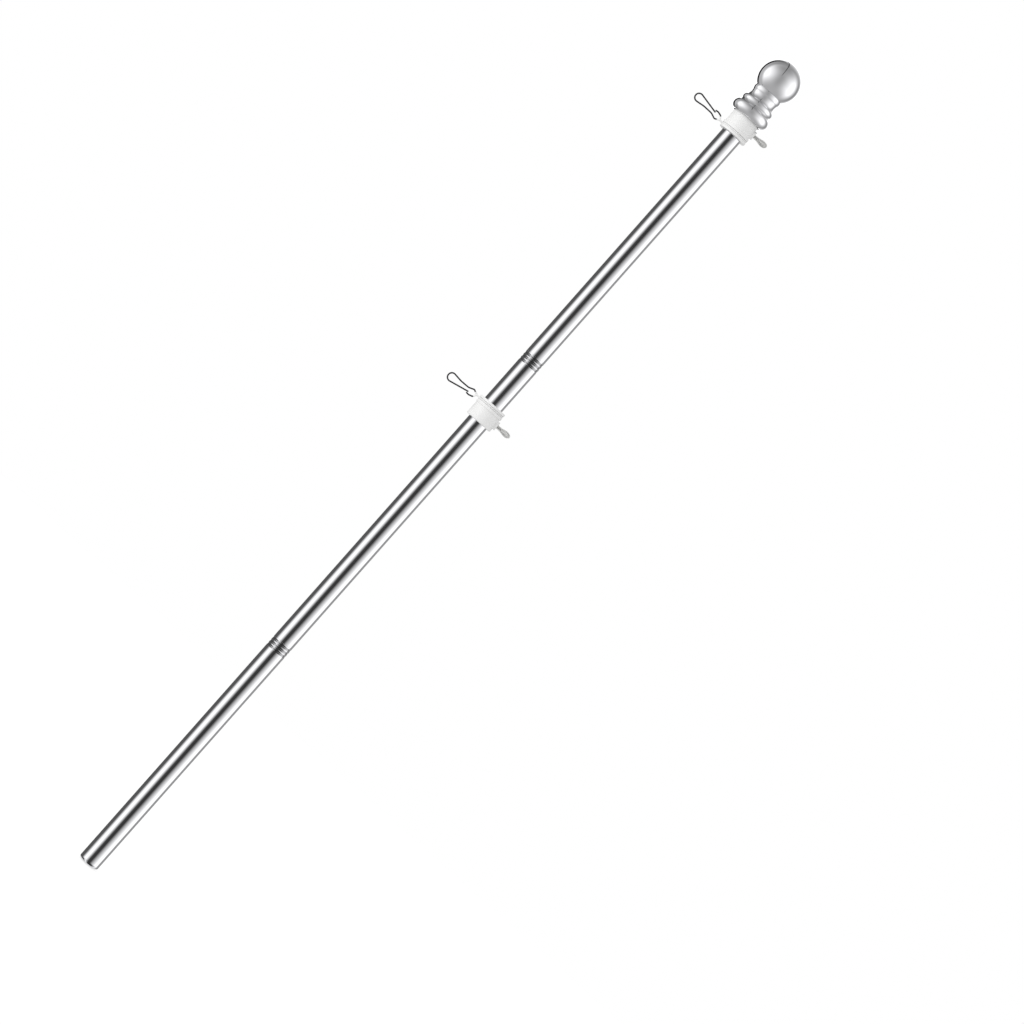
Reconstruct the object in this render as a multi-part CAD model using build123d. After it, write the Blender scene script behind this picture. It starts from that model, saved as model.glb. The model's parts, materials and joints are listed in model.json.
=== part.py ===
from build123d import *
from math import asin, atan2, cos, pi, radians, sin, sqrt, tan
import os

# A three-section house flagpole: polished tube, ball finial, and two stay collars, each with
# a swivelling wire clip and a thumb screw. Millimetres, +Z along the pole, origin at the
# centre of the flat at the bottom end. Clips point along -X, thumb screws along +X.

# Tube sections
TUBE_OD = 25.4
TUBE_WALL = 0.7
BOTTOM_LENGTH = 327.0
MIDDLE_LENGTH = 425.7
TOP_LENGTH = 371.0
TUBE_EDGE_BREAK = 0.2

# Rolled grooves that hold each threaded socket in the tube around it
ROLL_COUNT = 3
ROLL_PITCH = 4.4
ROLL_WIDTH = 3.2
ROLL_DEPTH = 0.4
ROLL_INSET = 7.5

# Threaded inserts inside the tubes
INSERT_FIT = 0.05
THREAD_CLEARANCE = 0.1
SOCKET_LENGTH = 38.0
SLEEVE_LENGTH = 32.0
STUD_R = 6.0
STUD_LENGTH = 27.0
STUD_END_GAP = 1.0
STUD_CHAMFER = 1.0

# End plug
PLUG_LAND_R = 5.0
PLUG_RISE = 4.5
PLUG_DEPTH = 22.0
PLUG_WALL = 2.0
PLUG_LEAD = 0.8

# Finial: a ball on a turned, flared base, held down on the tube's end by one stud
BALL_R = 25.0
BALL_SEAT_R = 18.2
BASE_RIM_HEIGHT = 12.0
BASE_FLARE_HEIGHT = 3.7
BASE_BEAD_HEIGHT = 6.6
BASE_NECK_HEIGHT = 9.3
BASE_TOP_BEAD_HEIGHT = 6.3
RIM_FOOT_R = 20.2
RIM_R = 24.1
RIM_SHOULDER_R = 22.4
FLARE_GROOVE_R = 19.6
LOWER_BEAD_R = 20.6
LOWER_BEAD_TOP_R = 19.0
FLARE_HOLLOW = 0.37
NECK_R = 16.5
NECK_WAIST_RISE = 6.2
UPPER_BEAD_FOOT_R = 17.1
UPPER_BEAD_R = 18.0
BASE_TOP_R = 17.5
TUBE_IN_BASE = 15.0
BASE_FIT = 0.1
RECESS_MARGIN = 1.6
RECESS_DEPTH = 6.0
TOP_INSERT_LENGTH = 25.0
FINIAL_STUD_R = 4.0
FINIAL_STUD_IN_TUBE = 20.0
FINIAL_STUD_IN_BALL = 14.0

# Stay collar, measured down from its flange face
COLLAR_LENGTH = 25.7
COLLAR_FIT = 0.25
FLANGE_R = 17.8
FLANGE_THICKNESS = 2.85
BAND_LENGTH = 3.5
BODY_R = 16.9
COLLAR_EDGE_R = 0.5
COLLAR_FOOT_CHAMFER = 0.9
WIRE_SIDE_CLEARANCE = 0.2
WIRE_FLOOR_CLEARANCE = 0.25
WIRE_SINK = 0.45
SCREW_LEVEL = 15.5
BOSS_R = 5.3
BOSS_REACH = 19.6
BOSS_EDGE_R = 0.6

# Where the collars sit: the lower one hangs below the upper joint, the upper one reaches into
# the recess of the finial's base
LOWER_COLLAR_BELOW_JOINT = 71.4
UPPER_COLLAR_IN_BASE = 1.0

# Thumb screw
SCREW_R = 2.4
SCREW_FIT = 0.06
SCREW_TIP_GAP = 0.3
SCREW_TIP_CHAMFER = 0.5
SHANK_SHOWING = 6.7
HEAD_LENGTH = 11.6
HEAD_HALF_WIDTH = 3.75
HEAD_NECK_HALF_WIDTH = 2.1
HEAD_THICKNESS = 2.4
HEAD_ROOT = 3.2
HEAD_EDGE_R = 0.5
HEAD_TURN = 38.0

# Wire clip, as reach from the pole's axis and height above the wire groove
WIRE_R = 0.9
STRAND_OFFSET = 1.08
RING_BEND_R = 2.2
TAIL_REACH = 19.2
EYE_FOOT = (20.8, 0.0)
EYE_CREST = (27.2, 2.9)
EYE_BEND_R = 1.6
NECK_REACH = 33.6
NECK_HEIGHT = 0.35
NECK_BEND_R = 9.6
SPINE_REACH = 45.0
SPINE_HEIGHT = 0.15
SPINE_BEND_R = 24.0
SPINE_SLOPE = 7.3
LOOP_REACH = 60.1
LOOP_BEND_R = 4.85
GATE_TIP = (31.4, -3.45)
GATE_SLOPE = 12.1
GATE_CLEARANCE = 0.08
GATE_LEAD = 0.3
CATCH_ROOT = (21.2, 0.0)
CATCH_HEEL = (23.9, -4.5)
CATCH_TOE = (28.6, -5.8)
CATCH_BEND_R = 1.4
CATCH_GAP = 0.25

TUBE_R = TUBE_OD / 2
TUBE_BORE_R = TUBE_R - TUBE_WALL
INSERT_R = TUBE_BORE_R - INSERT_FIT
BOTTOM_TUBE_Z = PLUG_RISE
JOINT_1_Z = BOTTOM_TUBE_Z + BOTTOM_LENGTH
JOINT_2_Z = JOINT_1_Z + MIDDLE_LENGTH
TUBE_TOP_Z = JOINT_2_Z + TOP_LENGTH
BASE_FOOT_Z = TUBE_TOP_Z - TUBE_IN_BASE
BASE_TOP_Z = (BASE_FOOT_Z + BASE_RIM_HEIGHT + BASE_FLARE_HEIGHT + BASE_BEAD_HEIGHT
              + BASE_NECK_HEIGHT + BASE_TOP_BEAD_HEIGHT)
BALL_Z = BASE_TOP_Z + sqrt(BALL_R**2 - BALL_SEAT_R**2)
LOWER_FLANGE_Z = JOINT_2_Z - LOWER_COLLAR_BELOW_JOINT
UPPER_FLANGE_Z = BASE_FOOT_Z + UPPER_COLLAR_IN_BASE - COLLAR_LENGTH

WIRE_GROOVE_WIDTH = 2 * (WIRE_R + WIRE_SIDE_CLEARANCE)
WIRE_LEVEL = FLANGE_THICKNESS + WIRE_GROOVE_WIDTH / 2
WIRE_RING_R = FLANGE_R - WIRE_SINK - WIRE_R
WIRE_GROOVE_R = WIRE_RING_R - WIRE_R - WIRE_FLOOR_CLEARANCE


def turned(profile):
    """The solid made by turning a closed outline, drawn as (radius, height), about the pole."""
    return revolve(Plane.XZ * make_face(profile), Axis.Z)


def outline(*points):
    """Straight edges from point to point, each point as (radius, height)."""
    return Polyline(*points)


def wall_line(radius, z_from, z_to, roll_centres):
    """One side of a tube wall, drawn from z_from to z_to and pressed inwards at each groove."""
    way = 1 if z_to > z_from else -1
    edges = []
    z = z_from
    for centre in sorted(roll_centres, reverse=way < 0):
        start = centre - way * ROLL_WIDTH / 2
        end = centre + way * ROLL_WIDTH / 2
        edges.append(Line((radius, z), (radius, start)))
        edges.append(ThreePointArc((radius, start), (radius - ROLL_DEPTH, centre), (radius, end)))
        z = end
    edges.append(Line((radius, z), (radius, z_to)))
    return edges


def roll_centres(tube_end):
    middle = tube_end - ROLL_INSET
    first = -(ROLL_COUNT - 1) / 2
    return [middle + (first + i) * ROLL_PITCH for i in range(ROLL_COUNT)]


def tube_section(z_from, length, rolled):
    """A length of tube with its outer edges broken, rolled inwards near its top end if asked."""
    z_to = z_from + length
    centres = roll_centres(z_to) if rolled else []
    b = TUBE_EDGE_BREAK
    edges = [outline((TUBE_BORE_R, z_from), (TUBE_R - b, z_from), (TUBE_R, z_from + b))]
    edges += wall_line(TUBE_R, z_from + b, z_to - b, centres)
    edges.append(outline((TUBE_R, z_to - b), (TUBE_R - b, z_to), (TUBE_BORE_R, z_to)))
    edges += wall_line(TUBE_BORE_R, z_to, z_from, centres)
    return turned(edges)


def joint_socket(seam_z):
    """The threaded socket in the top end of a section, gripped by the rolled grooves."""
    foot = seam_z - SOCKET_LENGTH
    bore_r = STUD_R + THREAD_CLEARANCE
    bore_foot = seam_z - STUD_LENGTH - STUD_END_GAP
    edges = [outline((0, foot), (INSERT_R, foot))]
    edges += wall_line(INSERT_R, foot, seam_z, roll_centres(seam_z))
    edges.append(outline((INSERT_R, seam_z), (bore_r, seam_z), (bore_r, bore_foot),
                         (0, bore_foot), (0, foot)))
    return turned(edges)


def joint_stud(seam_z):
    """The sleeve in the bottom end of the next section, with its stud reaching down."""
    tip = seam_z - STUD_LENGTH
    top = seam_z + SLEEVE_LENGTH
    return turned(outline((0, tip), (STUD_R - STUD_CHAMFER, tip), (STUD_R, tip + STUD_CHAMFER),
                          (STUD_R, seam_z), (INSERT_R, seam_z), (INSERT_R, top), (0, top), (0, tip)))


def end_plug():
    """A cap with a rounded face and a small flat, on a hollow skirt that fills the tube's end."""
    top = PLUG_RISE + PLUG_DEPTH
    cup_r = INSERT_R - PLUG_WALL
    dome = Spline((PLUG_LAND_R, 0), (TUBE_R, PLUG_RISE), tangents=[(1, 0), (0, 1)])
    rest = outline((TUBE_R, PLUG_RISE), (INSERT_R, PLUG_RISE), (INSERT_R, top - PLUG_LEAD),
                   (INSERT_R - PLUG_LEAD, top), (cup_r, top), (cup_r, PLUG_RISE), (0, PLUG_RISE),
                   (0, 0), (PLUG_LAND_R, 0))
    return turned([dome, rest])


def top_insert():
    """The threaded bush in the top end of the tube, which takes the finial's stud."""
    foot = TUBE_TOP_Z - TOP_INSERT_LENGTH
    bore_r = FINIAL_STUD_R + THREAD_CLEARANCE
    return turned(outline((bore_r, foot), (INSERT_R, foot), (INSERT_R, TUBE_TOP_Z),
                          (bore_r, TUBE_TOP_Z), (bore_r, foot)))


def finial_stud():
    """The plain stud that stands in the top insert and reaches up into the ball."""
    foot = TUBE_TOP_Z - FINIAL_STUD_IN_TUBE
    top = BASE_TOP_Z + FINIAL_STUD_IN_BALL
    return Pos(0, 0, foot) * Cylinder(FINIAL_STUD_R, top - foot,
                                      align=(Align.CENTER, Align.CENTER, Align.MIN))


def finial_base():
    """The turned base: a rounded rim, a flare, a bead, a concave neck and a top bead."""
    bore_r = FINIAL_STUD_R + THREAD_CLEARANCE
    tube_r = TUBE_R + BASE_FIT
    recess_r = BODY_R + RECESS_MARGIN
    recess_z = BASE_FOOT_Z + RECESS_DEPTH
    shoulder_z = BASE_FOOT_Z + BASE_RIM_HEIGHT
    groove_z = shoulder_z + BASE_FLARE_HEIGHT
    bead_z = groove_z + BASE_BEAD_HEIGHT
    neck_z = bead_z + BASE_NECK_HEIGHT
    rim = ThreePointArc((RIM_FOOT_R, BASE_FOOT_Z), (RIM_R, BASE_FOOT_Z + BASE_RIM_HEIGHT / 2),
                        (RIM_SHOULDER_R, shoulder_z))
    flare_mid_r = (RIM_SHOULDER_R + FLARE_GROOVE_R) / 2 - FLARE_HOLLOW
    flare = ThreePointArc((RIM_SHOULDER_R, shoulder_z),
                          (flare_mid_r, shoulder_z + BASE_FLARE_HEIGHT / 2),
                          (FLARE_GROOVE_R, groove_z))
    bead = ThreePointArc((FLARE_GROOVE_R, groove_z),
                         (LOWER_BEAD_R, groove_z + BASE_BEAD_HEIGHT / 2),
                         (LOWER_BEAD_TOP_R, bead_z))
    neck = ThreePointArc((LOWER_BEAD_TOP_R, bead_z), (NECK_R, bead_z + NECK_WAIST_RISE),
                         (UPPER_BEAD_FOOT_R, neck_z))
    top_bead = ThreePointArc((UPPER_BEAD_FOOT_R, neck_z),
                             (UPPER_BEAD_R, neck_z + BASE_TOP_BEAD_HEIGHT / 2),
                             (BASE_TOP_R, BASE_TOP_Z))
    inside = outline((BASE_TOP_R, BASE_TOP_Z), (bore_r, BASE_TOP_Z), (bore_r, TUBE_TOP_Z),
                     (tube_r, TUBE_TOP_Z), (tube_r, recess_z), (recess_r, recess_z),
                     (recess_r, BASE_FOOT_Z), (RIM_FOOT_R, BASE_FOOT_Z))
    return turned([rim, flare, bead, neck, top_bead, inside])


def finial_ball():
    """The ball, flat where it seats on the base and drilled for the stud."""
    bore_r = FINIAL_STUD_R + THREAD_CLEARANCE
    bore_top = BASE_TOP_Z + FINIAL_STUD_IN_BALL + STUD_END_GAP
    side = ThreePointArc((BALL_SEAT_R, BASE_TOP_Z), (BALL_R, BALL_Z), (0, BALL_Z + BALL_R))
    inside = outline((0, BALL_Z + BALL_R), (0, bore_top), (bore_r, bore_top),
                     (bore_r, BASE_TOP_Z), (BALL_SEAT_R, BASE_TOP_Z))
    return turned([side, inside])


def stay_collar():
    """The collar: flange, wire groove, band and body, with the boss that holds the screw."""
    bore_r = TUBE_R + COLLAR_FIT
    groove_top = -FLANGE_THICKNESS
    groove_foot = groove_top - WIRE_GROOVE_WIDTH
    band_foot = groove_foot - BAND_LENGTH
    foot = -COLLAR_LENGTH
    c = COLLAR_FOOT_CHAMFER
    e = COLLAR_EDGE_R
    flange_edge = RadiusArc((FLANGE_R - e, 0), (FLANGE_R, -e), e)
    band_edge = RadiusArc((FLANGE_R, band_foot + e), (FLANGE_R - e, band_foot), e)
    upper = outline((FLANGE_R, -e), (FLANGE_R, groove_top), (WIRE_GROOVE_R, groove_top),
                    (WIRE_GROOVE_R, groove_foot), (FLANGE_R, groove_foot), (FLANGE_R, band_foot + e))
    lower = outline((FLANGE_R - e, band_foot), (BODY_R, band_foot), (BODY_R, foot + c),
                    (BODY_R - c, foot), (bore_r, foot), (bore_r, 0), (FLANGE_R - e, 0))
    ring = turned([flange_edge, upper, band_edge, lower])
    boss = fillet(screw_cylinder(BOSS_R, bore_r, BOSS_REACH).edges().sort_by(Axis.X)[-1], BOSS_EDGE_R)
    tube_room = Pos(0, 0, foot) * Cylinder(bore_r, COLLAR_LENGTH,
                                           align=(Align.CENTER, Align.CENTER, Align.MIN))
    hole = screw_cylinder(SCREW_R + SCREW_FIT, 0, BOSS_REACH)
    return ring + (boss - tube_room) - hole


def screw_cylinder(radius, x_from, x_to):
    """A cylinder on the thumb screw's axis."""
    shape = Cylinder(radius, x_to - x_from, align=(Align.CENTER, Align.CENTER, Align.MIN))
    return Pos(x_from, 0, -SCREW_LEVEL) * Rot(0, 90, 0) * shape


def thumb_screw():
    """A screw with a flat oval head, its head turned a little from upright."""
    tip = TUBE_R + SCREW_TIP_GAP
    head_start = BOSS_REACH + SHANK_SHOWING
    shank = screw_cylinder(SCREW_R, tip, head_start)
    shank = chamfer(shank.edges().sort_by(Axis.X)[0], SCREW_TIP_CHAMFER)
    root = head_start - HEAD_ROOT
    end = head_start + HEAD_LENGTH
    sides = [Spline((root, way * HEAD_NECK_HALF_WIDTH), (head_start + HEAD_LENGTH / 2, way * HEAD_HALF_WIDTH),
                    (end, 0), tangents=[(1, 0), (0, -way)]) for way in (1, -1)]
    foot = Line((root, HEAD_NECK_HALF_WIDTH), (root, -HEAD_NECK_HALF_WIDTH))
    head = extrude(Plane.XZ * make_face([*sides, foot]), HEAD_THICKNESS / 2, both=True)
    rims = head.faces().filter_by(Axis.Y).edges().sort_by(Axis.X)[2:]
    head = fillet(rims, HEAD_EDGE_R)
    return shank + Pos(0, 0, -SCREW_LEVEL) * Rot(HEAD_TURN, 0, 0) * head


def wire(path):
    """Round wire along a path."""
    section = Plane(origin=path @ 0, z_dir=path % 0) * Circle(WIRE_R)
    return sweep(section, path=path)


def clip_path(points, sides, radii):
    """A bent wire's line, from points given as (reach, height), each beside the clip's middle."""
    corners = [(-reach, side, height - WIRE_LEVEL) for (reach, height), side in zip(points, sides)]
    return FilletPolyline(*corners, radius=radii)


def gate_line(reach):
    """Height of the straight gate strand at a reach."""
    return GATE_TIP[1] - (reach - GATE_TIP[0]) * tan(radians(GATE_SLOPE))


def loop_top():
    """Height at which the spine's outer run reaches the outer bend's first corner."""
    return SPINE_HEIGHT + (LOOP_REACH - SPINE_REACH) * tan(radians(SPINE_SLOPE))


def gate_pivot():
    """Where the gate strand flexes, just past the outer bend, as (reach, height). The bend's run
    down leads the wire from the spine's plane to the gate's, so its last corner leans over."""
    drop = loop_top() - gate_line(LOOP_REACH)
    lean = drop / sqrt(drop**2 + (2 * STRAND_OFFSET)**2)
    turn = pi / 2 + asin(lean * sin(radians(GATE_SLOPE)))
    along = LOOP_BEND_R * tan(turn / 2) + GATE_LEAD + WIRE_R + GATE_CLEARANCE
    reach = LOOP_REACH - along * cos(radians(GATE_SLOPE))
    return reach, gate_line(reach)


def clip_wire():
    """One length of wire: a catch, a ring round the collar's groove, then the spine and bend."""
    fillet_x = -sqrt((WIRE_RING_R + RING_BEND_R)**2 - (STRAND_OFFSET + RING_BEND_R)**2)
    touch = WIRE_RING_R / (WIRE_RING_R + RING_BEND_R)
    touch_x = fillet_x * touch
    touch_y = (STRAND_OFFSET + RING_BEND_R) * touch
    bend_turn = atan2(-fillet_x, STRAND_OFFSET + RING_BEND_R) / 2
    mid_x = fillet_x + RING_BEND_R * sin(bend_turn)
    mid_y = STRAND_OFFSET + RING_BEND_R * (1 - cos(bend_turn))
    tail_in = Line((-TAIL_REACH, -STRAND_OFFSET), (fillet_x, -STRAND_OFFSET))
    bend_in = ThreePointArc((fillet_x, -STRAND_OFFSET), (mid_x, -mid_y), (touch_x, -touch_y))
    ring = ThreePointArc((touch_x, -touch_y), (WIRE_RING_R, 0), (touch_x, touch_y))
    bend_out = ThreePointArc((touch_x, touch_y), (mid_x, mid_y), (fillet_x, STRAND_OFFSET))
    tail_out = Line((fillet_x, STRAND_OFFSET), (-TAIL_REACH, STRAND_OFFSET))
    ring_line = [Pos(0, 0, -WIRE_LEVEL) * edge for edge in (tail_in, bend_in, ring, bend_out, tail_out)]

    pivot_reach = gate_pivot()[0] + (WIRE_R + GATE_CLEARANCE) * cos(radians(GATE_SLOPE))
    spine_points = [(TAIL_REACH, 0), EYE_FOOT, EYE_CREST,
                    (NECK_REACH, NECK_HEIGHT), (SPINE_REACH, SPINE_HEIGHT), (LOOP_REACH, loop_top())]
    gate_points = [(LOOP_REACH, gate_line(LOOP_REACH)), (pivot_reach, gate_line(pivot_reach))]
    sides = [STRAND_OFFSET] * len(spine_points) + [-STRAND_OFFSET] * len(gate_points)
    spine_radii = [EYE_BEND_R, EYE_BEND_R, NECK_BEND_R, SPINE_BEND_R, LOOP_BEND_R, LOOP_BEND_R]
    spine = clip_path(spine_points + gate_points, sides, spine_radii)

    tip_height = gate_line(GATE_TIP[0]) - 2 * WIRE_R - CATCH_GAP
    catch_points = [(TAIL_REACH, 0), CATCH_ROOT, CATCH_HEEL, CATCH_TOE, (GATE_TIP[0], tip_height)]
    catch = clip_path(catch_points, [-STRAND_OFFSET] * len(catch_points), [CATCH_BEND_R] * 3)
    catch_end = Pos(*(catch @ 1)) * Sphere(WIRE_R)
    whole = Wire([edge for line in (catch, *ring_line, spine) for edge in line.edges()])
    return wire(whole) + catch_end


def clip_gate():
    """The springy strand from the bend back to the neck, with a rounded end each way."""
    pivot = gate_pivot()
    ends = [Vector(-reach, -STRAND_OFFSET, height - WIRE_LEVEL) for reach, height in (pivot, GATE_TIP)]
    return wire(Line(*ends)) + [Pos(*end) * Sphere(WIRE_R) for end in ends]


def placed(shape, flange_z, turned_over):
    """A collar piece moved to its flange's height, flange up, or turned over about X."""
    return Pos(0, 0, flange_z) * Rot(180 if turned_over else 0, 0, 0) * shape


parts = {
    "end_plug": end_plug(),
    "bottom_tube": tube_section(BOTTOM_TUBE_Z, BOTTOM_LENGTH, True),
    "middle_tube": tube_section(JOINT_1_Z, MIDDLE_LENGTH, True),
    "top_tube": tube_section(JOINT_2_Z, TOP_LENGTH, False),
    "joint_1_socket": joint_socket(JOINT_1_Z),
    "joint_1_stud": joint_stud(JOINT_1_Z),
    "joint_2_socket": joint_socket(JOINT_2_Z),
    "joint_2_stud": joint_stud(JOINT_2_Z),
    "top_insert": top_insert(),
    "finial_stud": finial_stud(),
    "finial_base": finial_base(),
    "finial_ball": finial_ball(),
}
collar_pieces = {
    "collar": stay_collar(),
    "thumb_screw": thumb_screw(),
    "clip_wire": clip_wire(),
    "clip_gate": clip_gate(),
}
for name, shape in collar_pieces.items():
    parts["lower_" + name] = placed(shape, LOWER_FLANGE_Z, False)
    parts["upper_" + name] = placed(shape, UPPER_FLANGE_Z, True)

os.makedirs("parts", exist_ok=True)
for name, shape in parts.items():
    export_step(shape, "parts/" + name + ".step")

print("gate pivot, reach and height from the wire level:", gate_pivot())
print("wire ring radius:", WIRE_RING_R, "wire level below the flange face:", WIRE_LEVEL)
print("first groove centres:", roll_centres(JOINT_1_Z), "ball centre:", BALL_Z)
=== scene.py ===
import json
import math

import bpy
import numpy as np
from mathutils import Matrix, Vector


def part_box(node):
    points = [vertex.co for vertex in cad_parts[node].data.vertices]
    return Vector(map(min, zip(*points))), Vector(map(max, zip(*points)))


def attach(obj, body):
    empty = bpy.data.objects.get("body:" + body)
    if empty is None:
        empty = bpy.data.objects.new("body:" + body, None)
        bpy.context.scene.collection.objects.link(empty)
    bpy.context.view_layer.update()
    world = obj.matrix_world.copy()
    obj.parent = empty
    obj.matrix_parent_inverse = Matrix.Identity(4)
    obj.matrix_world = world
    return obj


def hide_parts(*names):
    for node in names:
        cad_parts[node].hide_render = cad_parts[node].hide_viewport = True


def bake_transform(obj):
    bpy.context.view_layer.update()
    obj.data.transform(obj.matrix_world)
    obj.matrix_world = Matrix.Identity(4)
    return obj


# A house flagpole in three polished tube sections, with a chromed ball finial and two nylon
# collars that carry wire clips. The part's sizes are in millimetres, and MM turns them to metres.
# The studio's sizes are in metres.

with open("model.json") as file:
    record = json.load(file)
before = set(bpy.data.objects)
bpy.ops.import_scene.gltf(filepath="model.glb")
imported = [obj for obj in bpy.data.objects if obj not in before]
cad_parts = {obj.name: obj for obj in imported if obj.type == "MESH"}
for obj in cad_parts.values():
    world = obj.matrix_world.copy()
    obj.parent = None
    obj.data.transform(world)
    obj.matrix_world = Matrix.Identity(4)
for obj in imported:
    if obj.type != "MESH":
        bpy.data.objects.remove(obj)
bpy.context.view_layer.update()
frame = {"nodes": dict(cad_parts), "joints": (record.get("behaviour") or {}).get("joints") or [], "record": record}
nodes = frame["nodes"]
joints = {joint["name"]: joint for joint in frame["joints"]}

MM = 0.001

# The tube's rolled grooves, and the painted shade that darkens them, most along their bottoms
ROLL_INSET = 7.5
ROLL_PITCH = 4.4
ROLL_WIDTH = 3.2
ROLL_COUNT = 3
ROLL_EDGE = 0.4
# The grooves' darker colour is partly the rolled finish and partly painted shade; the line along their bottoms is
# painted shade
ROLL_TONE = 0.35
RIDGE_TONE = 0.2
ROLL_ROUGHNESS = 0.1
SHADE_LINE_HALF_WIDTH = 0.5
SHADE_LINE_FADE = 0.4

# Wire clip, as reach from the pole's axis and height above the wire groove
WIRE_R = 0.9
STRAND_OFFSET = 1.08
RING_R = 16.45
RING_BEND_R = 2.2
RING_STEPS = 120
RING_BEND_STEPS = 12
TAIL_REACH = 19.2
EYE_FOOT = (20.8, 0.0)
EYE_CREST = (27.2, 2.9)
EYE_BEND_R = 1.6
SPINE_NECK = (33.6, 0.35)
SPINE_NECK_BEND_R = 9.6
SPINE_MIDDLE = (45.0, 0.15)
SPINE_BEND_R = 24.0
SPINE_SLOPE = 7.3
LOOP_REACH = 60.1
LOOP_BEND_R = 4.85
GATE_TIP = (31.4, -3.45)
GATE_SLOPE = 12.1
CATCH_ROOT = (21.2, 0.0)
CATCH_HEEL = (23.9, -4.5)
CATCH_TOE = (28.6, -5.8)
CATCH_BEND_R = 1.4
CATCH_GAP = 0.25
GATE_CUT = 0.85
GATE_SPLIT = 0.3
GATE_STEPS = 64
SLEEVE_R = 1.0
SLEEVE_SPINE_REACH = 24.2
SLEEVE_CATCH_REACH = 23.2
SLEEVE_OVERLAP = 2.0

# Thumb screw, along its own axis
SCREW_R = 2.4
SCREW_START = 13.0
THREAD_PITCH = 0.8
THREAD_DEPTH = 0.42
THREAD_STEPS = 12
THREAD_SIDES = 48
THREAD_STEEPNESS = 1.25
THREAD_CREST = 0.12
SCREW_TIP_BEVEL = 0.5
HEAD_START = 26.3
HEAD_LENGTH = 11.6
HEAD_HALF_WIDTH = 3.75
HEAD_THICKNESS = 2.4
HEAD_NECK_HALF_WIDTH = 2.1
HEAD_ROOT = 3.2
HEAD_EDGE_R = 0.5
HEAD_DISH = 0.22
HEAD_TURN = math.radians(38.0)
HEAD_SIDE_STEPS = 18
HEAD_DISH_ROWS = 9
HEAD_EDGE_ROWS = 6

SHARP_ANGLE = math.radians(40)


# Meshes

def closed_surface(grid):
    """A closed surface through a grid of points: rows along it, columns round it, and the first
    and last row each a single point. Its faces are turned outwards by the sign of its volume."""
    count, around = grid.shape[:2]
    points = np.vstack([grid[0, :1], grid[1:-1].reshape(-1, 3), grid[-1, :1]])
    last = len(points) - 1
    faces = []
    for v in range(around):
        w = (v + 1) % around
        faces.append((0, 1 + w, 1 + v))
        for u in range(count - 3):
            here, after = 1 + u * around, 1 + (u + 1) * around
            faces.append((here + v, here + w, after + w, after + v))
        foot = 1 + (count - 3) * around
        faces.append((foot + v, foot + w, last))
    middle = points.mean(0)
    volume = sum(np.dot(points[f[0]] - middle, np.cross(points[f[1]] - middle, points[f[2]] - middle))
                 for f in faces)
    if volume < 0:
        faces = [f[::-1] for f in faces]
    return points, faces


def piece(name, shells, finish, body, stands_for=()):
    """One object made of closed shells, in millimetres in the shared frame, riding on a body when one is given."""
    points, faces = [], []
    start = 0
    for shell_points, shell_faces in shells:
        points.append(shell_points)
        faces += [tuple(i + start for i in face) for face in shell_faces]
        start += len(shell_points)
    mesh = bpy.data.meshes.new(name)
    mesh.from_pydata([tuple(p) for p in np.vstack(points) * MM], [], faces)
    mesh.shade_smooth()
    mesh.set_sharp_from_angle(angle=SHARP_ANGLE)
    mesh.materials.append(FINISH[finish])
    made = bpy.data.objects.new(name, mesh)
    bpy.context.scene.collection.objects.link(made)
    if stands_for:
        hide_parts(*stands_for)
    if body:
        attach(made, body)
    return made


def unit(v):
    """A vector's direction, one long."""
    return v / np.linalg.norm(v)


def rounded(points, radii, step=0.35):
    """A line through points, each inner corner replaced by an arc that touches both of its runs,
    as points no further apart than the step."""
    points = [np.array(p, float) for p in points]
    line = [points[0]]
    for before, corner, after, radius in zip(points, points[1:], points[2:], radii):
        u, w = unit(before - corner), unit(after - corner)
        half = math.acos(max(-1.0, min(1.0, float(np.dot(u, w))))) / 2
        centre = corner + unit(u + w) * radius / math.sin(half)
        turn = math.pi - 2 * half
        away = corner + u * radius / math.tan(half) - centre
        side = -u * radius
        count = max(3, math.ceil(turn * radius / step))
        line += [centre + away * math.cos(turn * i / count) + side * math.sin(turn * i / count)
                 for i in range(count + 1)]
    line.append(points[-1])
    out = [line[0]]
    for a, b in zip(line, line[1:]):
        count = max(1, math.ceil(np.linalg.norm(b - a) / step))
        out += [a + (b - a) * i / count for i in range(1, count + 1)]
    return np.array(out)


def round_bar(path, radius, start_round=True, end_round=True, sides=20, cap_rows=5):
    """A round bar along a path. Each ring of points lies square to the path, carried on from the
    ring before without twist, and the ends are half balls, or flat where they are hidden."""
    keep = np.r_[True, np.linalg.norm(np.diff(path, axis=0), axis=1) > 1e-6]
    path = path[keep]
    along = np.gradient(path, axis=0)
    along /= np.linalg.norm(along, axis=1)[:, None]
    across = np.cross(along[0], (0.0, 1.0, 0.0) if abs(along[0][1]) < 0.9 else (1.0, 0.0, 0.0))
    theta = np.linspace(0, 2 * math.pi, sides, endpoint=False)
    rings = []
    for i, (p, t) in enumerate(zip(path, along)):
        across = unit(across - t * np.dot(across, t))
        square = np.cross(t, across)
        circle = np.cos(theta)[:, None] * across + np.sin(theta)[:, None] * square
        if i == 0:
            caps = [(-math.cos(f) * start_round, math.sin(f)) for f in
                    np.linspace(0, math.pi / 2, cap_rows, endpoint=False)]
            rings += [p + t * radius * back + circle * radius * wide for back, wide in caps]
        rings.append(p + circle * radius)
    caps = [(math.cos(f) * end_round, math.sin(f)) for f in
            np.linspace(math.pi / 2, 0, cap_rows + 1)[1:]]
    rings += [path[-1] + along[-1] * radius * on + circle * radius * wide for on, wide in caps]
    return closed_surface(np.array(rings))


def placed(shell, level, turned_over):
    """A shell drawn about a collar's own level, moved up the pole, or turned over about X."""
    points, faces = shell
    if turned_over:
        points = points * (1, -1, -1)
    return points + (0, 0, level), faces


# Materials

def linear(hex_code):
    """An sRGB hex colour as linear red, green, blue and alpha."""
    parts = [int(hex_code[i:i + 2], 16) / 255 for i in (1, 3, 5)]
    return [c / 12.92 if c <= 0.04045 else ((c + 0.055) / 1.055) ** 2.4 for c in parts] + [1.0]


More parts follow.
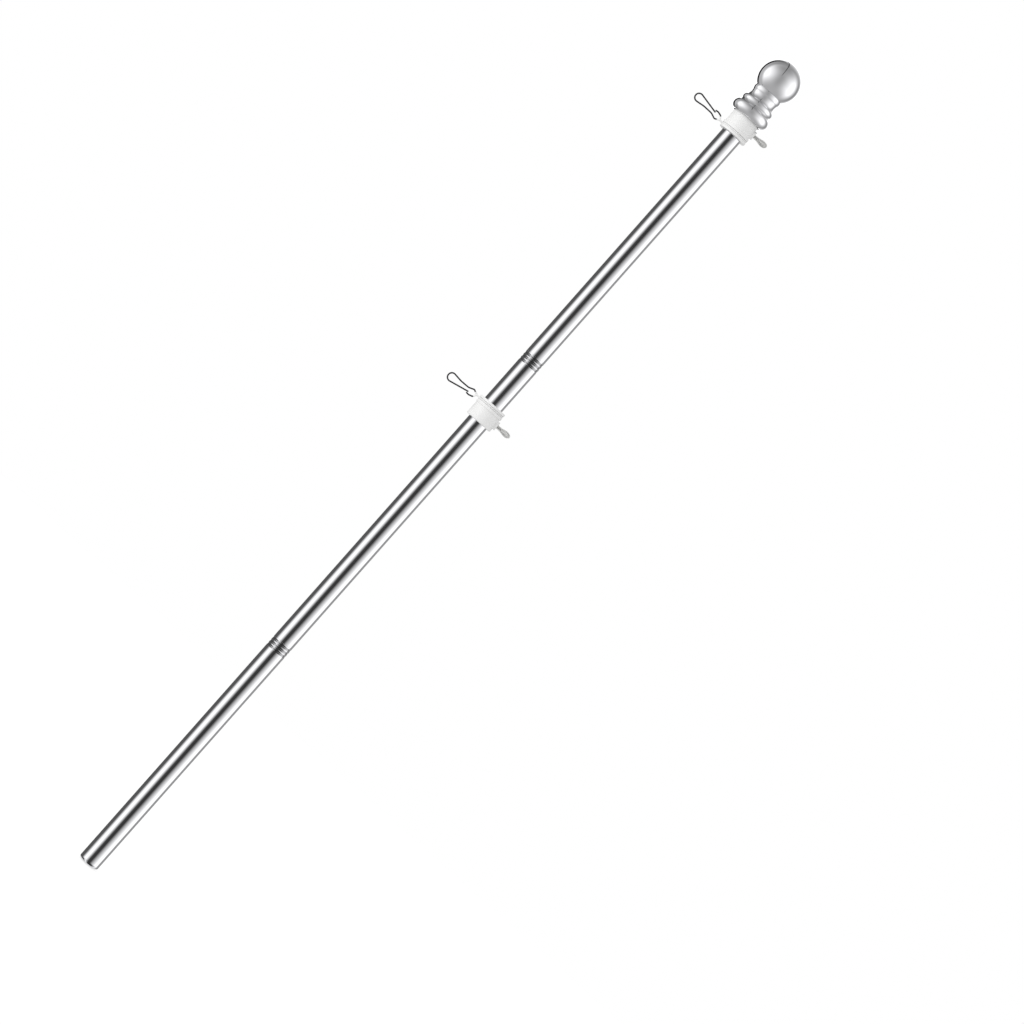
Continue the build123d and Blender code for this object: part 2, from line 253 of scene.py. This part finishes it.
def add(tree, kind, settings=None, values=None, links=None):
    """Adds a node with its settings, the values of its sockets and the sockets that feed it."""
    node = tree.nodes.new(kind)
    for name, value in (settings or {}).items():
        setattr(node, name, value)
    for name, value in (values or {}).items():
        node.inputs[name].default_value = value
    for name, source in (links or {}).items():
        tree.links.new(source, node.inputs[name])
    return node


def between(tree, value, low, high, a, b):
    """a where the value is under low, b where it is over high, eased between."""
    share = add(tree, "ShaderNodeMapRange", {"interpolation_type": "SMOOTHSTEP"},
                {"From Min": low, "From Max": high}, {"Value": value}).outputs[0]
    mix = add(tree, "ShaderNodeMix", {"data_type": "FLOAT"}, {}, {"Factor": share})
    for name, end in (("A", a), ("B", b)):
        if isinstance(end, float):
            mix.inputs[name].default_value = end
        else:
            tree.links.new(end, mix.inputs[name])
    return mix.outputs[0]


def blank(name, colour, metallic, roughness):
    """A material with its colour, metallic and roughness set, and where the object's points are."""
    made = bpy.data.materials.new(name)
    made.use_nodes = True
    tree = made.node_tree
    shader = tree.nodes["Principled BSDF"]
    shader.inputs["Base Color"].default_value = linear(colour)
    shader.inputs["Metallic"].default_value = metallic
    shader.inputs["Roughness"].default_value = roughness
    return made, tree, shader, add(tree, "ShaderNodeTexCoord").outputs["Object"]


# The span that a noise's values mostly fill
NOISE_SPAN = {"From Min": 0.3, "From Max": 0.7}


def rolled_band_with_shade(tree, height, rolled_at):
    """How rolled the tube is at a height, and how darkened by painted shade: 1 along the bottoms of the grooves
    about a level, less on their sides, least on the ridges between them, and 0 away from the joint."""
    half = (ROLL_PITCH * (ROLL_COUNT - 1) / 2 + ROLL_WIDTH / 2) * MM
    near = add(tree, "ShaderNodeMath", {"operation": "COMPARE"}, {1: rolled_at, 2: half}, {0: height})
    off = add(tree, "ShaderNodeMath", {"operation": "SUBTRACT"}, {1: rolled_at}, {0: height})
    off = add(tree, "ShaderNodeMath", {"operation": "PINGPONG"}, {1: ROLL_PITCH / 2 * MM},
              {0: off.outputs[0]}).outputs[0]
    side = [(ROLL_WIDTH / 2 - ROLL_EDGE) * MM, ROLL_WIDTH / 2 * MM]
    rolled = between(tree, off, *side, ROLL_TONE, RIDGE_TONE)
    # Painted shade: the colour is darkest along each groove's bottom
    shade_line = [SHADE_LINE_HALF_WIDTH * (1 + way * SHADE_LINE_FADE) * MM for way in (-1, 1)]
    tone = between(tree, off, *shade_line, 1.0, rolled)
    band = add(tree, "ShaderNodeMath", {"operation": "MULTIPLY"}, {}, {0: near.outputs[0], 1: tone})
    return band.outputs[0]


def polished_stainless():
    """Tube polished along its length: faint hairlines 0.4 mm apart that run 80 mm. Each groove rolled at a joint
    is duller, and its colour is darker: partly the rolled finish, and painted shade, deepest along the groove's
    bottom."""
    made, tree, shader, where = blank("polished_stainless_tube", "#DCDCDE", 1.0, 0.08)
    stretched = add(tree, "ShaderNodeMapping", {}, {"Scale": (2500, 2500, 12)}, {"Vector": where})
    lines = add(tree, "ShaderNodeTexNoise", {}, {"Scale": 1.0, "Detail": 2.0},
                {"Vector": stretched.outputs[0]})
    rough = add(tree, "ShaderNodeMapRange", {}, NOISE_SPAN | {"To Min": 0.06, "To Max": 0.1},
                {"Value": lines.outputs["Fac"]}).outputs[0]
    height = add(tree, "ShaderNodeSeparateXYZ", {}, {}, {0: where}).outputs["Z"]
    first, second = [rolled_band_with_shade(tree, height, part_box(name)[0][2] - ROLL_INSET * MM)
                     for name in ("middle_tube", "top_tube")]
    band = add(tree, "ShaderNodeMath", {"operation": "ADD"}, {}, {0: first, 1: second}).outputs[0]
    # The grooves' darker colour: partly the rolled finish, partly painted shade
    colour = add(tree, "ShaderNodeMix", {"data_type": "RGBA"},
                 {"A": linear("#DCDCDE"), "B": linear("#9C9C9E")}, {"Factor": band})
    tree.links.new(colour.outputs["Result"], shader.inputs["Base Color"])
    rough = add(tree, "ShaderNodeMath", {"operation": "MULTIPLY_ADD"}, {1: ROLL_ROUGHNESS},
                {0: band, 2: rough})
    tree.links.new(rough.outputs[0], shader.inputs["Roughness"])
    bump = add(tree, "ShaderNodeBump", {}, {"Strength": 0.3, "Distance": 0.000004},
               {"Height": lines.outputs["Fac"]})
    tree.links.new(bump.outputs[0], shader.inputs["Normal"])
    return made


def chrome_plate():
    """Bright plating on a turned casting: a clean mirror over turning marks 0.5 mm apart that the
    plate has nearly filled, with a trace of cloudiness in patches of 6 mm."""
    made, tree, shader, where = blank("bright_chrome_plate", "#E0E0E2", 1.0, 0.0)
    cloud = add(tree, "ShaderNodeTexNoise", {}, {"Scale": 160.0, "Detail": 3.0}, {"Vector": where})
    colour = add(tree, "ShaderNodeMix", {"data_type": "RGBA"},
                 {"A": linear("#E2E2E4"), "B": linear("#DEDEE0")}, {"Factor": cloud.outputs["Fac"]})
    tree.links.new(colour.outputs["Result"], shader.inputs["Base Color"])
    turned = add(tree, "ShaderNodeTexWave", {"bands_direction": "Z"}, {"Scale": 640.0, "Distortion": 0.4},
                 {"Vector": where})
    bump = add(tree, "ShaderNodeBump", {}, {"Strength": 0.15, "Distance": 0.000003},
               {"Height": turned.outputs["Fac"]})
    tree.links.new(bump.outputs[0], shader.inputs["Normal"])
    return made


def moulded_nylon():
    """White nylon from a spark-finished mould: a fine even texture of 0.25 mm, slightly waxy, with
    soft flow marks some 8 mm across."""
    made, tree, shader, where = blank("moulded_white_nylon", "#F2F2F1", 0.0, 0.42)
    flow = add(tree, "ShaderNodeTexNoise", {}, {"Scale": 120.0, "Detail": 2.0}, {"Vector": where})
    colour = add(tree, "ShaderNodeMix", {"data_type": "RGBA"},
                 {"A": linear("#F4F4F4"), "B": linear("#EFEFEE")}, {"Factor": flow.outputs["Fac"]})
    tree.links.new(colour.outputs["Result"], shader.inputs["Base Color"])
    spark = add(tree, "ShaderNodeTexNoise", {}, {"Scale": 4000.0, "Detail": 1.0}, {"Vector": where})
    spark = spark.outputs["Fac"]
    rough = add(tree, "ShaderNodeMapRange", {}, {"To Min": 0.4, "To Max": 0.48}, {"Value": spark})
    tree.links.new(rough.outputs[0], shader.inputs["Roughness"])
    bump = add(tree, "ShaderNodeBump", {}, {"Strength": 0.12, "Distance": 0.000002}, {"Height": spark})
    tree.links.new(bump.outputs[0], shader.inputs["Normal"])
    return made


def drawn_wire():
    """Hard-drawn spring wire: grey, with die marks of 0.1 mm, and lighter where it has rubbed, in
    patches of 4 mm."""
    made, tree, shader, where = blank("drawn_spring_wire", "#606062", 1.0, 0.26)
    marks = add(tree, "ShaderNodeTexNoise", {}, {"Scale": 9000.0, "Detail": 2.0}, {"Vector": where})
    rough = add(tree, "ShaderNodeMapRange", {}, NOISE_SPAN | {"To Min": 0.2, "To Max": 0.34},
                {"Value": marks.outputs["Fac"]})
    tree.links.new(rough.outputs[0], shader.inputs["Roughness"])
    wear = add(tree, "ShaderNodeTexNoise", {}, {"Scale": 260.0, "Detail": 3.0}, {"Vector": where})
    colour = add(tree, "ShaderNodeMix", {"data_type": "RGBA"},
                 {"A": linear("#565658"), "B": linear("#68686A")}, {"Factor": wear.outputs["Fac"]})
    tree.links.new(colour.outputs["Result"], shader.inputs["Base Color"])
    return made


def nickel_plate():
    """Barrel-plated screw: bright and soft, with tumbling dents about 0.6 mm across."""
    made, tree, shader, where = blank("barrel_nickel_plate", "#EEEEEC", 1.0, 0.5)
    dents = add(tree, "ShaderNodeTexNoise", {}, {"Scale": 1600.0, "Detail": 2.0}, {"Vector": where})
    dents = dents.outputs["Fac"]
    rough = add(tree, "ShaderNodeMapRange", {}, NOISE_SPAN | {"To Min": 0.46, "To Max": 0.54},
                {"Value": dents})
    tree.links.new(rough.outputs[0], shader.inputs["Roughness"])
    bump = add(tree, "ShaderNodeBump", {}, {"Strength": 0.3, "Distance": 0.00002}, {"Height": dents})
    tree.links.new(bump.outputs[0], shader.inputs["Normal"])
    return made


def turned_alloy():
    """Alloy insert as it left the lathe: fine rings 0.6 mm apart."""
    made, tree, shader, where = blank("turned_alloy_insert", "#BCBCBE", 1.0, 0.34)
    rings = add(tree, "ShaderNodeTexWave", {"bands_direction": "Z"}, {"Scale": 530.0, "Distortion": 0.3},
                {"Vector": where})
    rings = rings.outputs["Fac"]
    rough = add(tree, "ShaderNodeMapRange", {}, {"To Min": 0.28, "To Max": 0.4}, {"Value": rings})
    tree.links.new(rough.outputs[0], shader.inputs["Roughness"])
    bump = add(tree, "ShaderNodeBump", {}, {"Strength": 0.4, "Distance": 0.00001}, {"Height": rings})
    tree.links.new(bump.outputs[0], shader.inputs["Normal"])
    return made


FINISH = {"polished_steel": polished_stainless(), "satin_chrome": chrome_plate(),
          "white_nylon": moulded_nylon(), "spring_wire": drawn_wire(),
          "screw_steel": nickel_plate(), "insert_alloy": turned_alloy()}
for part in frame["record"]["subparts"]:
    for place in nodes[part["node"]].material_slots:
        place.material = FINISH[part["material_slot"]]


# Wire clips

def gate_height(reach):
    """Height of the gate strand's line at a reach."""
    return GATE_TIP[1] - (reach - GATE_TIP[0]) * math.tan(math.radians(GATE_SLOPE))


def strand(points, sides, radii):
    """A bent strand from points given as (reach, height), each beside the clip's middle."""
    return rounded([(-reach, side, height) for (reach, height), side in zip(points, sides)], radii)


def wire_ring():
    """Half the ring's centre line and the bend that leads it out to its strand, on the +Y side: a
    circle about the pole, then a smaller circle that touches both it and the strand."""
    centre = np.array([-math.sqrt((RING_R + RING_BEND_R) ** 2 - (STRAND_OFFSET + RING_BEND_R) ** 2),
                       STRAND_OFFSET + RING_BEND_R])
    touch = math.atan2(centre[1], centre[0])
    ring = [(RING_R * math.cos(a), RING_R * math.sin(a)) for a in np.linspace(0, touch, RING_STEPS)]
    start = touch - math.pi
    bend = [centre + RING_BEND_R * np.array([math.cos(a), math.sin(a)])
            for a in np.linspace(start, -math.pi / 2, RING_BEND_STEPS)]
    line = np.array(ring + [tuple(p) for p in bend] + [(-TAIL_REACH, STRAND_OFFSET)])
    return np.column_stack([line, np.zeros(len(line))])


def smooth(f):
    """A smooth step from 0 to 1 as f goes from 0 to 1."""
    f = np.clip(f, 0, 1)
    return f * f * (3 - 2 * f)


def clip_lines():
    """Centre lines of the clip about the groove's level: the spine round to where the gate starts,
    the gate itself, and the catch. The outer bend's run down leads the wire from the spine's
    plane to the gate's."""
    loop_top = SPINE_MIDDLE[1] + (LOOP_REACH - SPINE_MIDDLE[0]) * math.tan(math.radians(SPINE_SLOPE))
    pivot = -joints["lower_gate_squeeze"]["pos_m"][0] / MM
    cut = pivot + GATE_CUT * math.cos(math.radians(GATE_SLOPE))
    spine = strand([(TAIL_REACH, 0), EYE_FOOT, EYE_CREST, SPINE_NECK, SPINE_MIDDLE, (LOOP_REACH, loop_top),
                    (LOOP_REACH, gate_height(LOOP_REACH)), (cut, gate_height(cut))],
                   [STRAND_OFFSET] * 6 + [-STRAND_OFFSET] * 2,
                   [EYE_BEND_R, EYE_BEND_R, SPINE_NECK_BEND_R, SPINE_BEND_R, LOOP_BEND_R, LOOP_BEND_R])
    gate = np.linspace((cut + GATE_SPLIT, gate_height(cut + GATE_SPLIT)), GATE_TIP, GATE_STEPS)
    gate = np.column_stack([-gate[:, 0], np.full(len(gate), -STRAND_OFFSET), gate[:, 1]])
    under_tip = (GATE_TIP[0], GATE_TIP[1] - 2 * WIRE_R - CATCH_GAP)
    catch = strand([(TAIL_REACH, 0), CATCH_ROOT, CATCH_HEEL, CATCH_TOE, under_tip],
                   [-STRAND_OFFSET] * 5, [CATCH_BEND_R] * 3)
    return spine, gate, catch


def wire_clip(which, turned_over):
    """The clip's bare wire, its gate strand from the outer bend on as a piece of its own, and the white
    sleeve on the ring that runs in the collar's groove and on both of its roots."""
    level = joints[which + "_clip_swivel"]["pos_m"][2] / MM
    spine, gate, catch = clip_lines()
    half_ring = wire_ring()
    other_half = (half_ring * (1, -1, 1))[::-1]
    out_of_sleeve = [line[-line[:, 0] > reach - SLEEVE_OVERLAP] for line, reach in
                     ((spine, SLEEVE_SPINE_REACH), (catch, SLEEVE_CATCH_REACH))]
    shells = [placed(round_bar(out_of_sleeve[0], WIRE_R, False, False), level, turned_over),
              placed(round_bar(out_of_sleeve[1], WIRE_R, False, True), level, turned_over)]
    piece(which + "_clip_spring", shells, "spring_wire", which + "_clip", [which + "_clip_wire"])
    gate_bar = placed(round_bar(gate, WIRE_R, False, True), level, turned_over)
    strand_piece = piece(which + "_clip_strand", [gate_bar], "spring_wire", None, [which + "_clip_gate"])
    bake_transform(strand_piece)
    in_sleeve = [catch[-catch[:, 0] < SLEEVE_CATCH_REACH][::-1], other_half[1:], half_ring[1:],
                 spine[-spine[:, 0] < SLEEVE_SPINE_REACH][1:]]
    sleeve = round_bar(np.vstack(in_sleeve), SLEEVE_R, True, True)
    piece(which + "_clip_sleeve", [placed(sleeve, level, turned_over)], "white_nylon", which + "_clip")


# Thumb screws

def threaded_shank():
    """The screw's shank along X: a cylinder cut by a helix, its depth a triangle wave of length
    along the axis over the pitch less the turn, with a flat crest. It runs out towards the head, and
    the tip is bevelled."""
    along = np.arange(SCREW_START, HEAD_START - HEAD_ROOT / 2, THREAD_PITCH / THREAD_STEPS)
    turn = np.linspace(0, 2 * math.pi, THREAD_SIDES, endpoint=False)
    x, a = np.meshgrid(along, turn, indexing="ij")
    phase = (x / THREAD_PITCH - a / (2 * math.pi)) % 1
    depth = np.clip(THREAD_STEEPNESS * np.abs(2 * phase - 1) - THREAD_CREST, 0, 1)
    run_out = smooth((HEAD_START - HEAD_ROOT - x) / THREAD_PITCH)
    radius = SCREW_R - THREAD_DEPTH * depth * run_out
    radius = np.minimum(radius, SCREW_R - SCREW_TIP_BEVEL + (x - SCREW_START))
    rows = np.stack([x, radius * np.cos(a), radius * np.sin(a)], axis=-1)
    ends = [np.tile((end, 0, 0), (1, len(turn), 1)) for end in (along[0], along[-1])]
    return closed_surface(np.concatenate([ends[0], rows, ends[1]]))


def screw_head():
    """The flat head: its outline swells by a smooth step from the neck to its widest, then ends as
    half an ellipse. Both faces are dished towards the middle, and the rim is rounded."""
    root, end = HEAD_START - HEAD_ROOT, HEAD_START + HEAD_LENGTH
    widest = HEAD_START + HEAD_LENGTH / 2
    swell = HEAD_HALF_WIDTH - HEAD_NECK_HALF_WIDTH
    side = [(x, HEAD_NECK_HALF_WIDTH + swell * smooth((x - root) / (widest - root)))
            for x in np.linspace(root, widest, HEAD_SIDE_STEPS, endpoint=False)]
    side += [(widest + (end - widest) * math.sin(a), HEAD_HALF_WIDTH * math.cos(a))
             for a in np.linspace(0, math.pi / 2, HEAD_SIDE_STEPS)]
    outline = np.array(side + [(x, -z) for x, z in side[-2::-1]])
    step = np.roll(outline, -1, axis=0) - np.roll(outline, 1, axis=0)
    away = np.column_stack([-step[:, 1], step[:, 0]]) / np.linalg.norm(step, axis=1)[:, None]
    inner = outline - away * HEAD_EDGE_R
    middle = np.array([widest, 0.0])
    half = HEAD_THICKNESS / 2
    rows = [(middle + (inner - middle) * k, -half + HEAD_DISH * (1 - smooth(k)))
            for k in np.linspace(0, 1, HEAD_DISH_ROWS)]
    rows += [(inner + away * HEAD_EDGE_R * math.sin(a), -half + HEAD_EDGE_R * (1 - math.cos(a)))
             for a in np.linspace(0, math.pi / 2, HEAD_EDGE_ROWS)[1:]]
    rows += [(flat, -level) for flat, level in rows[::-1]]
    c, s = math.cos(HEAD_TURN), math.sin(HEAD_TURN)
    turned = [(flat[:, 0], level * c - flat[:, 1] * s, level * s + flat[:, 1] * c) for flat, level in rows]
    return closed_surface(np.array([np.column_stack(row) for row in turned]))


def thumb_screw(which, turned_over):
    """A collar's screw, its threaded shank and its head as one piece."""
    level = joints[which + "_screw_turn"]["pos_m"][2] / MM
    shells = [placed(shell, level, turned_over) for shell in (threaded_shank(), screw_head())]
    piece(which + "_wing_screw", shells, "screw_steel", which + "_screw", [which + "_thumb_screw"])


for which, turned_over in (("lower", False), ("upper", True)):
    wire_clip(which, turned_over)
    thumb_screw(which, turned_over)


# Studio. Azimuths run from the camera's side towards +X, in degrees

STUDIO_LEVEL = 1.5
# Each dark card beside the lit panels by its centre's azimuth, half width, softness and depth, as
# level surfaces see the cards, as surfaces tipped up or down do, and as the finial's mirror does.
# A scratch program fitted most of these numbers, and the mirror's below, to the photograph's tones
LEVEL_CARDS = [(0.0, 28.4, 19.5, 0.96), (32.7, 27.0, 20.7, 0.5),
               (-126.3, 48.3, 20.1, 0.92), (146.8, 35.9, 5.3, 0.74)]
TIPPED_CARDS = [(20.0, 48.0, 26.0, 0.97), (75.0, 40.0, 30.0, 0.35),
                (-112.0, 58.0, 16.0, 0.92), (146.8, 35.9, 5.3, 0.74)]
MIRROR_CARDS = [(-2.0, 47.8, 49.6, 0.75), (-146.7, 13.5, 3.0, 0.99),
                (-126.0, 25.4, 13.2, 0.63), (130.7, 23.2, 24.1, 0.81)]
# The rises, in degrees, over which one set of cards gives way to the next and to the ceiling
TIPPED_RISE = (9, 15)
CEILING_RISE = (45, 75)
CEILING_TONE = 0.9
# The white sweep: its direction, below and behind the foot of the pole, and its soft edge
SWEEP_WAY = (0, 0.5, -0.87)
SWEEP_EDGE = (0.62, 0.74)
FLOOR_TONE = 0.95
DIFFUSE_LEVEL = 0.84
# What the mirror sees beside its cards. The spans are heights or sides of a direction one long
MIRROR_LEVEL = 1.7
MIRROR_TOP_TONE = 0.76
MIRROR_TOP_SPAN = (0.3, 1.12)
MIRROR_FOOT_TONE = 0.51
MIRROR_FOOT_SPAN = (-0.91, -0.05)
PATCH_WAY = (-98.8, 70.0)
PATCH_RADIUS = 48.6
PATCH_SOFTNESS = 30.6
PATCH_DEPTH = 0.52
SEAM_LEAN = -0.155
SEAM_DEPTH = 0.8
SEAM_SPAN = (0.3, 0.7)
SEAM_EDGE = (0.01, 0.04)


def card_tone(tree, way, cards):
    """The studio's tone in a level direction: 1 between the cards, down by a card's depth on it."""
    level = add(tree, "ShaderNodeVectorMath", {"operation": "MULTIPLY"}, {1: (1, 1, 0)}, {0: way})
    level = add(tree, "ShaderNodeVectorMath", {"operation": "NORMALIZE"}, {}, {0: level.outputs[0]})
    tones = []
    for centre, half, soft, depth in cards:
        c = math.radians(centre)
        dot = add(tree, "ShaderNodeVectorMath", {"operation": "DOT_PRODUCT"},
                  {1: (math.sin(c), -math.cos(c), 0)}, {0: level.outputs[0]}).outputs["Value"]
        angle = add(tree, "ShaderNodeMath", {"operation": "ARCCOSINE"}, {}, {0: dot}).outputs[0]
        inner, outer = math.radians(max(half - soft, 0)), math.radians(half + soft)
        card = add(tree, "ShaderNodeMapRange", {"interpolation_type": "SMOOTHSTEP"},
                   {"From Min": inner, "From Max": outer, "To Min": 1 - depth, "To Max": 1.0},
                   {"Value": angle})
        tones.append(card.outputs[0])
    tone = tones[0]
    for card in tones[1:]:
        tone = add(tree, "ShaderNodeMath", {"operation": "MULTIPLY"}, {}, {0: tone, 1: card}).outputs[0]
    return tone


def mirror_patch(tree, way):
    """A round soft grey patch high on the left: its tone, and 1 round it."""
    azimuth, rise = [math.radians(a) for a in PATCH_WAY]
    centre = (math.sin(azimuth) * math.cos(rise), -math.cos(azimuth) * math.cos(rise), math.sin(rise))
    dot = add(tree, "ShaderNodeVectorMath", {"operation": "DOT_PRODUCT"}, {1: centre}, {0: way})
    angle = add(tree, "ShaderNodeMath", {"operation": "ARCCOSINE"}, {}, {0: dot.outputs["Value"]})
    edge = [math.radians(PATCH_RADIUS + out * PATCH_SOFTNESS) for out in (-1, 1)]
    return between(tree, angle.outputs[0], *edge, 1 - PATCH_DEPTH, 1.0)


def mirror_seam(tree, parts):
    """The dark seam between two top cards, which fades out downwards: its tone, and 1 beside it."""
    seam = between(tree, parts["Z"], *SEAM_SPAN, 1.0, 1 - SEAM_DEPTH)
    off = add(tree, "ShaderNodeMath", {"operation": "SUBTRACT"}, {1: SEAM_LEAN}, {0: parts["X"]})
    off = add(tree, "ShaderNodeMath", {"operation": "ABSOLUTE"}, {}, {0: off.outputs[0]})
    return between(tree, off.outputs[0], *SEAM_EDGE, seam, 1.0)


def mirror_tone(tree, way):
    """What the mirror plate sees: lit at both sides and straight behind, grey in front, above and
    below, dark between the sides and the back, with the patch and the seam overhead."""
    parts = add(tree, "ShaderNodeSeparateXYZ", {}, {}, {0: way}).outputs
    tone = card_tone(tree, way, MIRROR_CARDS)
    tone = add(tree, "ShaderNodeMath", {"operation": "MULTIPLY"}, {1: MIRROR_LEVEL}, {0: tone}).outputs[0]
    tone = between(tree, parts["Z"], *MIRROR_TOP_SPAN, tone, MIRROR_TOP_TONE)
    tone = between(tree, parts["Z"], *MIRROR_FOOT_SPAN, MIRROR_FOOT_TONE, tone)
    for share in (mirror_patch(tree, way), mirror_seam(tree, parts)):
        tone = add(tree, "ShaderNodeMath", {"operation": "MULTIPLY"}, {}, {0: tone, 1: share}).outputs[0]
    return tone


def studio_world():
    """The light round the pole. Glossy rays see the cards, the ceiling and the white sweep,
    mirror-sharp ones the mirror's cards, diffuse ones an even level, and the camera sees white."""
    world = bpy.data.worlds.new("pale_studio")
    bpy.context.scene.world = world
    world.use_nodes = True
    tree = world.node_tree
    tree.nodes.clear()
    way = add(tree, "ShaderNodeTexCoord").outputs["Generated"]
    height = add(tree, "ShaderNodeSeparateXYZ", {}, {}, {0: way}).outputs["Z"]
    tip = add(tree, "ShaderNodeMath", {"operation": "ABSOLUTE"}, {}, {0: height}).outputs[0]
    tipped, ceiling = [[math.sin(math.radians(a)) for a in rise] for rise in (TIPPED_RISE, CEILING_RISE)]
    tone = between(tree, tip, *tipped, card_tone(tree, way, LEVEL_CARDS),
                   card_tone(tree, way, TIPPED_CARDS))
    tone = between(tree, height, *ceiling, tone, CEILING_TONE / STUDIO_LEVEL)
    sweep = add(tree, "ShaderNodeVectorMath", {"operation": "DOT_PRODUCT"}, {1: SWEEP_WAY}, {0: way})
    tone = between(tree, sweep.outputs["Value"], *SWEEP_EDGE, tone, FLOOR_TONE / STUDIO_LEVEL)
    tone = add(tree, "ShaderNodeMath", {"operation": "MULTIPLY"}, {1: STUDIO_LEVEL}, {0: tone})
    path = add(tree, "ShaderNodeLightPath").outputs
    tone = add(tree, "ShaderNodeMix", {"data_type": "FLOAT"}, {},
               {"Factor": path["Is Singular Ray"], "A": tone.outputs[0], "B": mirror_tone(tree, way)})
    glow = add(tree, "ShaderNodeMix", {"data_type": "FLOAT"}, {"A": DIFFUSE_LEVEL},
               {"Factor": path["Is Glossy Ray"], "B": tone.outputs[0]})
    glow = add(tree, "ShaderNodeMix", {"data_type": "FLOAT"}, {"B": 1.0},
               {"Factor": path["Is Camera Ray"], "A": glow.outputs[0]})
    background = add(tree, "ShaderNodeBackground", {}, {"Color": (1, 1, 1, 1)},
                     {"Strength": glow.outputs[0]})
    add(tree, "ShaderNodeOutputWorld", {}, {}, {"Surface": background.outputs[0]})


studio_world()

# Camera: square on to the pole, near the middle of its height, rolled until the pole leans right
CAMERA_DISTANCE = 4.0
VIEW_HEIGHT = 1.146
VIEW_CENTRE = Vector((0.09514, 0.0, 0.6099))
POLE_LEAN = math.radians(41.50)
SENSOR = 36.0

camera_data = bpy.data.cameras.new("studio_camera")
camera_data.sensor_width = SENSOR
camera_data.lens = SENSOR * CAMERA_DISTANCE / VIEW_HEIGHT
camera_data.clip_end = 100
camera = bpy.data.objects.new("studio_camera", camera_data)
bpy.context.scene.collection.objects.link(camera)
look = Matrix.Rotation(math.radians(90), 4, "X") @ Matrix.Rotation(POLE_LEAN, 4, "Z")
camera.matrix_world = Matrix.Translation(VIEW_CENTRE + Vector((0, -CAMERA_DISTANCE, 0))) @ look
bpy.context.scene.camera = camera
bpy.context.scene.view_settings.view_transform = "Standard"

# Key light: a soft panel above and to the left, which reflections leave out
KEY_SIZE = (1.6, 2.0)
KEY_POWER = 22
KEY_PLACE = Vector((-2.2, -1.4, 1.6))

key_data = bpy.data.lights.new("soft_key", "AREA")
key_data.shape = "RECTANGLE"
key_data.size, key_data.size_y = KEY_SIZE
key_data.energy = KEY_POWER
key = bpy.data.objects.new("soft_key", key_data)
bpy.context.scene.collection.objects.link(key)
aim = (VIEW_CENTRE - KEY_PLACE).to_track_quat("-Z", "Y").to_matrix().to_4x4()
key.matrix_world = Matrix.Translation(KEY_PLACE) @ aim
key.visible_glossy = False

# Floor: its half width, and what the camera sees of it, a glow and a share of the light on it
FLOOR_HALF_WIDTH = 3.0
FLOOR_GLOW = 0.82
FLOOR_SHARE = 0.25


def stage_mesh(name, points, faces):
    """One object of the studio, made of points and faces in metres."""
    mesh = bpy.data.meshes.new(name)
    mesh.from_pydata(points, [], faces)
    made = bpy.data.objects.new(name, mesh)
    bpy.context.scene.collection.objects.link(made)
    return made


def pale_floor():
    """A white floor: it takes the soft shadow, and the camera sees it as the white backdrop."""
    half = FLOOR_HALF_WIDTH
    corners = [(-half, -half, 0), (half, -half, 0), (half, half, 0), (-half, half, 0)]
    floor = stage_mesh("pale_floor", corners, [(0, 1, 2, 3)])
    floor.visible_glossy = False
    made = bpy.data.materials.new("white_floor")
    made.use_nodes = True
    tree = made.node_tree
    tree.nodes.clear()
    plain = add(tree, "ShaderNodeBsdfDiffuse", {}, {"Color": linear("#E6E6E6")})
    dim = add(tree, "ShaderNodeBsdfDiffuse", {}, {"Color": (FLOOR_SHARE,) * 3 + (1,)})
    glow = add(tree, "ShaderNodeEmission", {}, {"Color": (1, 1, 1, 1), "Strength": FLOOR_GLOW})
    seen = add(tree, "ShaderNodeAddShader", {}, {}, {0: dim.outputs[0], 1: glow.outputs[0]})
    path = add(tree, "ShaderNodeLightPath").outputs
    mix = add(tree, "ShaderNodeMixShader", {}, {},
              {0: path["Is Camera Ray"], 1: plain.outputs[0], 2: seen.outputs[0]})
    add(tree, "ShaderNodeOutputMaterial", {}, {}, {"Surface": mix.outputs[0]})
    floor.data.materials.append(made)


pale_floor()
